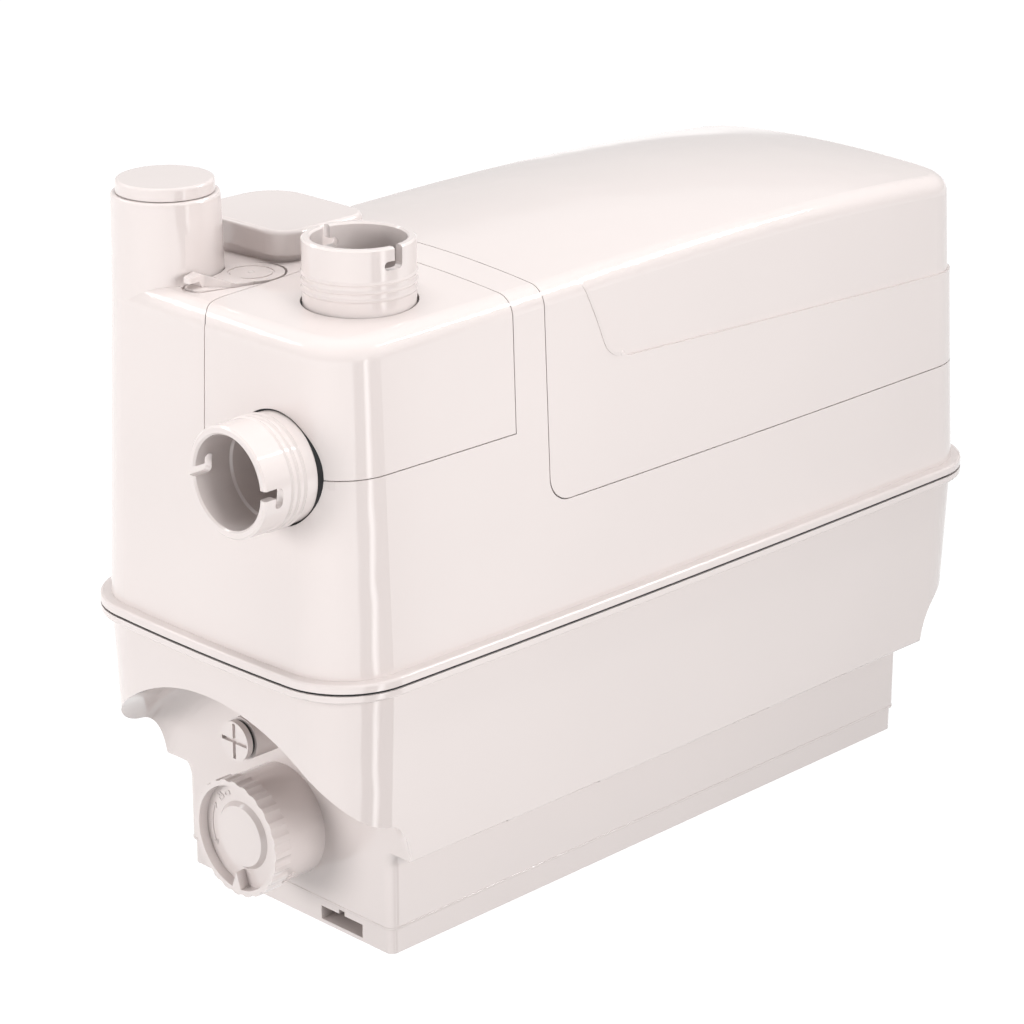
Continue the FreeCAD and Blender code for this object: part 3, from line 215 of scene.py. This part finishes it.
def moulded_plastic(name, colour, rough=(0.055, 0.085), ripple=0.02):
    """Glossy moulded plastic: slow mottling, faint surface waviness and a fine grain."""
    material, tree, shader = new_material(name)
    cloud = noise(tree, scale=9.0, detail=2.0)
    tone = ramp(tree, cloud, [(NOISE_LOW, shade(colour, 0.985)), (NOISE_HIGH, shade(colour, 1.012))])
    tree.links.new(tone, shader.inputs["Base Color"])
    patches = noise(tree, scale=60.0)
    tree.links.new(spread(tree, patches, *rough), shader.inputs["Roughness"])
    wave = bump(tree, shader, noise(tree, scale=45.0, detail=1.0), strength=ripple, distance=0.0004)
    grain = noise(tree, scale=2600.0, detail=2.0)
    bump(tree, shader, grain, strength=0.04, distance=0.00004, before=wave)
    shader.inputs["Specular IOR Level"].default_value = 1.0
    shader.inputs["IOR"].default_value = 1.5
    return material


def rubber(name, colour):
    """Matt black rubber with a fine grain and dusty patches."""
    material, tree, shader = new_material(name)
    dust = noise(tree, scale=120.0, detail=4.0)
    tone = ramp(tree, dust, [(0.35, colour), (0.75, shade(colour, 2.2))])
    tree.links.new(tone, shader.inputs["Base Color"])
    tree.links.new(spread(tree, dust, 0.55, 0.75), shader.inputs["Roughness"])
    bump(tree, shader, noise(tree, scale=1800.0), strength=0.15, distance=0.0001)
    return material


def brushed_metal(name, colour):
    """Metal with turned marks, drawn out along the shaft's direction."""
    material, tree, shader = new_material(name)
    marks = noise(tree, scale=260.0, detail=4.0, rough=0.6, stretch=(1.0, 1.0, 14.0))
    tone = ramp(tree, marks, [(NOISE_LOW, shade(colour, 0.85)), (NOISE_HIGH, shade(colour, 1.05))])
    tree.links.new(tone, shader.inputs["Base Color"])
    tree.links.new(spread(tree, marks, 0.3, 0.5), shader.inputs["Roughness"])
    bump(tree, shader, marks, strength=0.08, distance=0.0001)
    shader.inputs["Metallic"].default_value = 1.0
    return material


def cast_metal(name, colour):
    """Die-cast metal with a pebbled skin."""
    material, tree, shader = new_material(name)
    grain = noise(tree, scale=700.0, detail=4.0, rough=0.65)
    tone = ramp(tree, grain, [(NOISE_LOW, shade(colour, 0.8)), (NOISE_HIGH, shade(colour, 1.05))])
    tree.links.new(tone, shader.inputs["Base Color"])
    tree.links.new(spread(tree, grain, 0.38, 0.58), shader.inputs["Roughness"])
    bump(tree, shader, grain, strength=0.25, distance=0.0002)
    shader.inputs["Metallic"].default_value = 1.0
    return material


def laminations(name, colour):
    """Stack of thin steel sheets, seen as fine level lines."""
    material, tree, shader = new_material(name)
    place = tree.nodes.new("ShaderNodeTexCoord")
    wave = tree.nodes.new("ShaderNodeTexWave")
    wave.bands_direction = "Z"
    wave.inputs["Scale"].default_value = 320.0
    wave.inputs["Distortion"].default_value = 0.4
    tree.links.new(place.outputs["Object"], wave.inputs["Vector"])
    tone = ramp(tree, wave.outputs["Fac"], [(0.2, shade(colour, 0.45)), (0.6, colour)])
    tree.links.new(tone, shader.inputs["Base Color"])
    bump(tree, shader, wave.outputs["Fac"], strength=0.4, distance=0.0002)
    shader.inputs["Metallic"].default_value = 0.9
    shader.inputs["Roughness"].default_value = 0.45
    return material


def circuit_board(name, colour):
    """Lacquered board with faint tracks under the lacquer."""
    material, tree, shader = new_material(name)
    place = tree.nodes.new("ShaderNodeTexCoord")
    brick = tree.nodes.new("ShaderNodeTexBrick")
    brick.inputs["Scale"].default_value = 140.0
    brick.inputs["Color1"].default_value = (colour[0], colour[1], colour[2], 1.0)
    brick.inputs["Color2"].default_value = (colour[0], colour[1] * 1.3, colour[2], 1.0)
    brick.inputs["Mortar"].default_value = (colour[0] * 2, colour[1] * 1.9, colour[2] * 1.5, 1.0)
    tree.links.new(place.outputs["Object"], brick.inputs["Vector"])
    tree.links.new(brick.outputs["Color"], shader.inputs["Base Color"])
    tree.links.new(spread(tree, noise(tree, scale=300.0), 0.2, 0.4), shader.inputs["Roughness"])
    return material


def foam(name, colour):
    """Open-celled carbon foam."""
    material, tree, shader = new_material(name)
    place = tree.nodes.new("ShaderNodeTexCoord")
    cells = tree.nodes.new("ShaderNodeTexVoronoi")
    cells.inputs["Scale"].default_value = 900.0
    tree.links.new(place.outputs["Object"], cells.inputs["Vector"])
    tone = ramp(tree, cells.outputs["Distance"], [(0.1, shade(colour, 0.4)), (0.6, shade(colour, 2.0))])
    tree.links.new(tone, shader.inputs["Base Color"])
    bump(tree, shader, cells.outputs["Distance"], strength=0.8, distance=0.0006)
    shader.inputs["Roughness"].default_value = 0.9
    return material


shell = moulded_plastic("shell_plastic", OFF_WHITE)
socket_plastic = moulded_plastic("socket_plastic", OFF_WHITE, rough=(0.05, 0.08), ripple=0.015)
fitting_plastic = moulded_plastic("fitting_plastic", OFF_WHITE, rough=(0.08, 0.13), ripple=0.015)
tray_plastic = moulded_plastic("tray_plastic", shade(OFF_WHITE, 0.99), rough=(0.10, 0.16))
inner_plastic = moulded_plastic("inner_plastic", INNER_GREY, rough=(0.32, 0.42))
pump_plastic = moulded_plastic("pump_plastic", PUMP_GREY, rough=(0.35, 0.45))
black_plastic = moulded_plastic("black_plastic", PLASTIC_BLACK, rough=(0.3, 0.42))
seal_rubber = rubber("seal_rubber", RUBBER_BLACK)
flap_rubber = rubber("flap_rubber", shade(RUBBER_BLACK, 1.4))
aluminium = cast_metal("cast_aluminium", ALUMINIUM)
core_steel = laminations("core_steel", shade(STEEL, 0.7))
shaft_steel = brushed_metal("shaft_steel", STEEL)
board = circuit_board("board_lacquer", BOARD_GREEN)
filter_foam = foam("filter_foam", FOAM_BLACK)
detail_plastic = moulded_plastic("detail_plastic", shade(OFF_WHITE, 0.97), rough=(0.09, 0.14), ripple=0.01)

finish = {
    shell: ["tank", "upper_cover", "motor_cover", "corner_panel"],
    socket_plastic: ["inlet_socket_top", "inlet_socket_end", "tower_cap", "vent_lid"],
    fitting_plastic: ["drain_cap", "test_screw", "release_plug", "cable_gland"],
    tray_plastic: ["base_tray"],
    inner_plastic: ["tank_lid", "inlet_manifold", "discharge_pipe", "check_valve_body",
                    "level_pipe", "pump_column"],
    pump_plastic: ["pump_volute", "volute_cover", "impeller", "inlet_strainer"],
    black_plastic: ["pressure_switch", "capacitor"],
    seal_rubber: ["rim_seal", "socket_seal_top", "socket_seal_end", "drain_cap_seal",
                  "test_screw_seal", "shaft_seal"],
    flap_rubber: ["inlet_flap", "check_flap"],
    aluminium: ["motor_housing", "motor_end_cap"],
    core_steel: ["stator", "rotor"],
    shaft_steel: ["pump_shaft", "bearing_lower", "bearing_upper", "motor_screws"],
    board: ["control_board"],
    filter_foam: ["carbon_filter"],
}


def dress(node, material):
    """Gives a node its material and rounds its shading, with hard edges kept."""
    mesh = node.data
    mesh.materials.clear()
    mesh.materials.append(material)
    mesh.shade_smooth()
    mesh.set_sharp_from_angle(angle=math.radians(HARD_EDGE))
    weighted = node.modifiers.new("weighted", "WEIGHTED_NORMAL")
    weighted.keep_sharp = True
    weighted.weight = 100


for material, names in finish.items():
    for name in names:
        dress(nodes[name], material)
left_out = sorted(set(nodes) - {name for names in finish.values() for name in names})
assert not left_out, left_out


# Small moulded details


def finish_piece(name, build, body, edge):
    """Turns a built mesh into a moulded detail that rides on a body, with its edges eased."""
    bmesh.ops.recalc_face_normals(build, faces=build.faces)
    mesh = bpy.data.meshes.new(name)
    build.to_mesh(mesh)
    build.free()
    mesh.materials.append(detail_plastic)
    piece = bpy.data.objects.new(name, mesh)
    bpy.context.scene.collection.objects.link(piece)
    easing = piece.modifiers.new("eased", "BEVEL")
    easing.width = edge
    easing.segments = 2
    easing.limit_method = "ANGLE"
    mesh.shade_smooth()
    mesh.set_sharp_from_angle(angle=math.radians(HARD_EDGE))
    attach(piece, body)


def join_loops(build, loops):
    """Skins the gaps along a row of loops that have as many points each."""
    for first, second in zip(loops, loops[1:]):
        for k in range(len(first)):
            other = (k + 1) % len(first)
            build.faces.new((first[k], first[other], second[other], second[k]))


def ribs(name, body, strips, place, width, height, edge, fade=0):
    """Raised ribs along strips of flat points, laid on a surface by place(u, v, height).

    A rib rises over its first points and sinks over its last, as many as fade says, with its tips sunk.
    """
    build = bmesh.new()
    sunk = 0.0001
    for strip in strips:
        rails = []
        for index, point in enumerate(strip):
            before = Vector(strip[max(index - 1, 0)])
            after = Vector(strip[min(index + 1, len(strip) - 1)])
            along = (after - before).normalized()
            side = Vector((-along.y, along.x)) * width / 2
            left, right = Vector(point) + side, Vector(point) - side
            rise = min(1.0, index / fade, (len(strip) - 1 - index) / fade) if fade else 1.0
            top = height * rise - sunk * (1.0 - rise)
            corners = ((left, -ROOT), (left, top), (right, top), (right, -ROOT))
            rails.append([build.verts.new(place(p.x, p.y, level)) for p, level in corners])
        join_loops(build, rails)
        build.faces.new(rails[0])
        build.faces.new(list(reversed(rails[-1])))
    finish_piece(name, build, body, edge)


def lathe(name, body, profile, centre, edge, count=40):
    """Turned detail about an upright axis, from (radius, height) pairs."""
    build = bmesh.new()
    loops = []
    for radius, height in profile:
        loops.append([build.verts.new((centre[0] + radius * math.cos(2 * math.pi * k / count),
                                       centre[1] + radius * math.sin(2 * math.pi * k / count),
                                       centre[2] + height)) for k in range(count)])
    join_loops(build, loops)
    build.faces.new(list(reversed(loops[0])))
    build.faces.new(loops[-1])
    finish_piece(name, build, body, edge)


def on_circle(radius, degrees):
    """Flat point on a circle, in degrees from level, upwards."""
    turn = math.radians(degrees)
    return (radius * math.cos(turn), radius * math.sin(turn))


def arc(radius, first, last, count=24):
    """Flat points of an arc, in degrees from level, upwards."""
    return [on_circle(radius, first + (last - first) * k / count) for k in range(count + 1)]


def smooth_line(points, count=8):
    """Evenly curved line through flat points."""
    line = []
    for index in range(len(points) - 1):
        a = Vector(points[max(index - 1, 0)])
        b, c = Vector(points[index]), Vector(points[index + 1])
        d = Vector(points[min(index + 2, len(points) - 1)])
        for step in range(count):
            t = step / count
            line.append(0.5 * (2 * b + (c - a) * t + (2 * a - 5 * b + 4 * c - d) * t * t
                               + (3 * b - a - 3 * c + d) * t ** 3))
    return [tuple(point) for point in line + [Vector(points[-1])]]


def level_way(turn):
    """Level direction, by its angle from +X in radians."""
    return Vector((math.cos(turn), math.sin(turn), 0.0))


def surface_of(name):
    """Shape of a node, for rays to hit."""
    return BVHTree.FromObject(nodes[name], bpy.context.evaluated_depsgraph_get())


def cap_marks():
    """Marks in the ring of the drain cap: an arc with two arrows, and two frames, one with a loop on top."""
    low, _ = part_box("drain_cap")
    ring_floor = low.x + 0.0042
    radius, first, last = 0.0176, -30.0, 28.0
    barb_turn, barb_reach = 6.0, 0.0011
    frame_inner, frame_outer, loop_top = 0.0162, 0.0176, 0.0188
    loop_first, loop_last = 42.0, 47.0

    def place(u, v, height):
        return (ring_floor - height, u, CAP_LEVEL + v)

    strips = [arc(radius, first, last)]
    for tip, back in ((first, first + barb_turn), (last, last - barb_turn)):
        for reach in (-barb_reach, barb_reach):
            strips.append([on_circle(radius, tip), on_circle(radius + reach, back)])
    for start, end in ((40.0, 49.0), (55.0, 64.0)):
        strips.append(arc(frame_inner, start, end, 6))
        strips.append(arc(frame_outer, start, end, 6))
        for at in (start, end):
            strips.append([on_circle(frame_inner, at), on_circle(frame_outer, at)])
    strips.append(arc(loop_top, loop_first, loop_last, 4))
    for at in (loop_first, loop_last):
        strips.append([on_circle(frame_outer, at), on_circle(loop_top, at)])
    ribs("drain_cap_marks", "drain_cap", strips, place, width=0.00045, height=0.0003, edge=0.00008)


def neck_marks():
    """Two index lines and a pointer on the side of the drain neck, which the cap's pointer is set to."""
    low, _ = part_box("drain_cap")
    neck_end = low.x + 0.008
    radius = 0.0223
    middle = math.radians(-140.0)
    near, half_way, far = 0.0022, 0.0040, 0.0058

    def place(u, v, height):
        turn = middle + v / radius
        reach = radius + height
        return (neck_end + u, reach * math.cos(turn), CAP_LEVEL + reach * math.sin(turn))

    strips = [[(near, 0.0), (far, 0.0)],
              [(near, 0.0016), (near, 0.0040), (far, 0.0040)],
              [(near, -0.0018), (half_way, -0.0030), (far, -0.0018)]]
    ribs("drain_neck_marks", "housing", strips, place, width=0.0006, height=0.0003, edge=0.0001)


def plug_nub():
    """Moulding nub in the middle of the release plug."""
    low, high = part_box("release_plug")
    from_end, sink = 0.0124, 0.0034
    centre = (high.x - from_end, (low.y + high.y) / 2, high.z - sink)
    profile = [(0.0013, -ROOT), (0.0013, 0.00008), (0.0006, 0.0005), (0.0003, 0.0006)]
    lathe("release_plug_nub", "release_plug", profile, centre, edge=0.0001)


def seam_pad():
    """Thin moulded pad under the panel's seam, beside the end socket.

    The cover is slit where the pad lies, so the reach of its face is measured beside the slit.
    """
    surface = surface_of("upper_cover")
    middle = math.radians(218.4)
    beside = level_way(math.radians(232.0))
    outside = 0.1
    bottom, step, count = 0.1930, 0.00043, 11

    def place(u, v, height):
        foot = Vector((COVER_CORNER[0], COVER_CORNER[1], v))
        hit = surface.ray_cast(foot + beside * outside, -beside)[0]
        spot = foot + level_way(middle + u / COVER_CORNER_RADIUS) * ((hit - foot).length + height)
        return (spot.x, spot.y, spot.z)

    upright = [(0.0, bottom + step * index) for index in range(count)]
    ribs("seam_pad", "housing", [upright], place, width=0.0022, height=0.00006, edge=0.00001)


def hood_edge(name, side):
    """Rounded start of the hood's step, where its depth runs out on one side of the motor cover."""
    surface = surface_of("motor_cover")
    outside = 0.3

    def place(u, v, height):
        hit = surface.ray_cast(Vector((u, outside * side, v)), Vector((0.0, -side, 0.0)))[0]
        return (u, hit.y + height * side, v)

    points = [(-0.0572, 0.2478), (-0.0552, 0.2440), (-0.0521, 0.2375), (-0.0483, 0.2290),
              (-0.0450, 0.2205), (-0.0425, 0.2168), (-0.0385, 0.2143), (-0.0340, 0.2140)]
    ribs(name, "housing", [smooth_line(points)], place, width=0.0013, height=0.00028, edge=0.00025, fade=12)


def plinth_bead():
    """Bead round the foot of the plinth, where the tray is fixed to it."""
    left, right = PLINTH_LEFT + PLINTH_CORNER, PLINTH_RIGHT - PLINTH_CORNER
    half = PLINTH_HALF_WIDTH - PLINTH_CORNER
    steps, unit = 8, 1000
    round_trip = []
    for x, y, start in ((right, half, 0), (left, half, 90), (left, -half, 180), (right, -half, 270)):
        for step in range(steps + 1):
            turn = math.radians(start + 90 / steps * step)
            round_trip.append((x, y, math.cos(turn), math.sin(turn)))
    round_trip.append(round_trip[0])

    def place(u, v, height):
        x, y, across, along = round_trip[round(u * unit)]
        reach = PLINTH_CORNER + height
        return (x + across * reach, y + along * reach, BEAD_LEVEL + v)

    strip = [(index / unit, 0.0) for index in range(len(round_trip))]
    ribs("plinth_bead", "housing", [strip], place, width=0.0010, height=0.00022, edge=0.0002)


# Studio


def floor_material():
    """Plain pale floor, bright enough that the object's shadow stays faint."""
    material, tree, shader = new_material("floor_white")
    cloud = noise(tree, scale=3.0, detail=1.0)
    tone = ramp(tree, cloud, [(NOISE_LOW, grey(0.115)), (NOISE_HIGH, grey(0.12))])
    tree.links.new(tone, shader.inputs["Base Color"])
    shader.inputs["Roughness"].default_value = 0.9
    shader.inputs["Specular IOR Level"].default_value = 0.0
    shader.inputs["Emission Color"].default_value = (1.0, 1.0, 1.0, 1.0)
    shader.inputs["Emission Strength"].default_value = FLOOR_GLOW
    return material


def bounce_material():
    """Light that the floor returns to the object, fading from its left end to its right."""
    material, tree, shader = new_material("floor_bounce")
    place = tree.nodes.new("ShaderNodeTexCoord")
    split = tree.nodes.new("ShaderNodeSeparateXYZ")
    tree.links.new(place.outputs["Object"], split.inputs["Vector"])
    along = remap(tree, split.outputs["X"], (BOUNCE_FROM, BOUNCE_TO), (0.0, 1.0))
    tone = ramp(tree, along, [(0.0, grey(BOUNCE_LEFT)), (1.0, grey(BOUNCE_RIGHT))])
    tree.links.new(tone, shader.inputs["Emission Color"])
    shader.inputs["Base Color"].default_value = (0.15, 0.15, 0.15, 1.0)
    shader.inputs["Specular IOR Level"].default_value = 0.0
    shader.inputs["Emission Strength"].default_value = 1.0
    return material


def sheet(name, half, z, material):
    """Flat square stage piece."""
    corners = [(-half, -half, z), (half, -half, z), (half, half, z), (-half, half, z)]
    mesh = bpy.data.meshes.new(name)
    mesh.from_pydata(corners, [], [tuple(range(len(corners)))])
    mesh.materials.append(material)
    piece = bpy.data.objects.new(name, mesh)
    bpy.context.scene.collection.objects.link(piece)
    return piece


def make_floor():
    """One face that only the camera sees, over one that only lights the object from below."""
    seen = sheet("studio_floor", FLOOR_HALF, cad_low.z - FLOOR_DEPTH, floor_material())
    lighting = sheet("floor_below", FLOOR_HALF, cad_low.z - BOUNCE_DEPTH, bounce_material())
    for piece in (seen, lighting):
        piece.visible_camera = piece is seen
        piece.visible_diffuse = piece is lighting
        piece.visible_shadow = piece is lighting
        piece.visible_glossy = False


def softbox(name, place, target, size, power, mirrored=False, diffuse=True):
    """Rectangular lamp that faces its target, mirrored by glossy faces or not, and lighting them or not."""
    light = bpy.data.lights.new(name, "AREA")
    light.shape = "RECTANGLE"
    light.size = size[0]
    light.size_y = size[1]
    light.energy = power
    lamp = bpy.data.objects.new(name, light)
    bpy.context.scene.collection.objects.link(lamp)
    lamp.location = place
    direction = Vector(target) - Vector(place)
    lamp.rotation_mode = "QUATERNION"
    lamp.rotation_quaternion = direction.to_track_quat("-Z", "Y")
    lamp.visible_glossy = mirrored
    lamp.visible_diffuse = diffuse


def make_sky(tree, split):
    """Upper half of the studio: brighter high up than low down, and dimmer in front of the object."""
    low, high = grey(WORLD_LOW), grey(WORLD_HIGH)
    tone = ramp(tree, split.outputs["Z"], [(0.0, low), (SKY_EDGE[0], low), (SKY_EDGE[1], high), (1.0, high)])
    toward = combine(tree, "ADD", split.outputs["X"], split.outputs["Y"])
    sky = tree.nodes.new("ShaderNodeVectorMath")
    sky.operation = "SCALE"
    tree.links.new(tone, sky.inputs[0])
    tree.links.new(remap(tree, toward, FRONT_EDGE, (WORLD_FRONT, 1.0)), sky.inputs["Scale"])
    return sky.outputs["Vector"]


def make_ground(tree, split):
    """Lower half of the studio: pale, with a bright and two dark bars.

    Upright glossy faces mirror it, so the bars show as upright streaks on round corners.
    """
    turn = combine(tree, "ARCTAN2", split.outputs["Y"], split.outputs["X"])
    share = remap(tree, turn, (-math.pi, math.pi), (0.0, 1.0))
    stops = []
    for first, last, level in BARS:
        stops += [(first - BAR_BLUR, WORLD_BELOW), (first + BAR_BLUR, level),
                  (last - BAR_BLUR, level), (last + BAR_BLUR, WORLD_BELOW)]
    return ramp(tree, share, [(at / 360.0, grey(level)) for at, level in stops])


def choose(tree, factor, first, second):
    """First colour where the factor is 0, and where it is 1 the second, or white if there is none."""
    node = tree.nodes.new("ShaderNodeMixRGB")
    tree.links.new(factor, node.inputs["Fac"])
    tree.links.new(first, node.inputs["Color1"])
    if second:
        tree.links.new(second, node.inputs["Color2"])
    else:
        node.inputs["Color2"].default_value = (1.0, 1.0, 1.0, 1.0)
    return node.outputs["Color"]


def make_world():
    """Studio that lights the object and is mirrored by it, while the camera sees plain white."""
    world = bpy.data.worlds.new("studio")
    bpy.context.scene.world = world
    world.use_nodes = True
    tree = world.node_tree
    tree.nodes.clear()
    output = tree.nodes.new("ShaderNodeOutputWorld")
    background = tree.nodes.new("ShaderNodeBackground")
    place = tree.nodes.new("ShaderNodeTexCoord")
    split = tree.nodes.new("ShaderNodeSeparateXYZ")
    tree.links.new(place.outputs["Generated"], split.inputs["Vector"])
    under = tree.nodes.new("ShaderNodeMath")
    under.operation = "LESS_THAN"
    under.inputs[1].default_value = 0.0
    tree.links.new(split.outputs["Z"], under.inputs[0])
    studio = choose(tree, under.outputs["Value"], make_sky(tree, split), make_ground(tree, split))
    ray = tree.nodes.new("ShaderNodeLightPath")
    seen = choose(tree, ray.outputs["Is Camera Ray"], studio, None)
    tree.links.new(seen, background.inputs["Color"])
    tree.links.new(background.outputs["Background"], output.inputs["Surface"])


def make_camera():
    """Stands where the photograph was taken."""
    turn = math.radians(CAMERA_TURN)
    tilt = math.radians(CAMERA_TILT)
    forward = Vector((math.cos(tilt) * math.cos(turn), math.cos(tilt) * math.sin(turn), -math.sin(tilt)))
    right = Vector((math.sin(turn), -math.cos(turn), 0.0))
    up = right.cross(forward)
    data = bpy.data.cameras.new("camera")
    data.sensor_width = CAMERA_SENSOR
    data.sensor_fit = "HORIZONTAL"
    data.lens = CAMERA_LENS
    data.clip_start = 0.05
    data.clip_end = 60.0
    camera = bpy.data.objects.new("camera", data)
    bpy.context.scene.collection.objects.link(camera)
    axes = Matrix((right, up, -forward)).transposed().to_4x4()
    camera.matrix_world = Matrix.Translation(CAMERA_PLACE) @ axes
    bpy.context.scene.camera = camera


cap_marks()
neck_marks()
plug_nub()
seam_pad()
hood_edge("hood_step_near", -1.0)
hood_edge("hood_step_far", 1.0)
plinth_bead()
make_floor()
make_world()
make_camera()
softbox("key", place=(-1.4, 0.55, 0.22), target=(-0.15, 0.0, 0.14), size=(0.8, 0.8), power=17.0)
softbox("front", place=(-0.2, -1.15, 0.5), target=(-0.12, 0.0, 0.14), size=(0.5, 0.5), power=10.2)
softbox("top", place=(0.0, 0.0, 2.2), target=(0.0, 0.0, 0.2), size=(1.5, 1.5), power=36.0)

# Strips that light nothing, and are only mirrored along the rounded edges
softbox("edge_left", place=(-0.55, 0.85, 0.95), target=(-0.15, 0.0, 0.24), size=(0.5, 0.16), power=0.8,
        mirrored=True, diffuse=False)
softbox("edge_right", place=(0.75, -0.5, 0.95), target=(-0.1, -0.06, 0.24), size=(0.5, 0.16), power=4.0,
        mirrored=True, diffuse=False)

bpy.context.scene.view_settings.view_transform = "Standard"
bpy.context.scene.view_settings.look = "None"
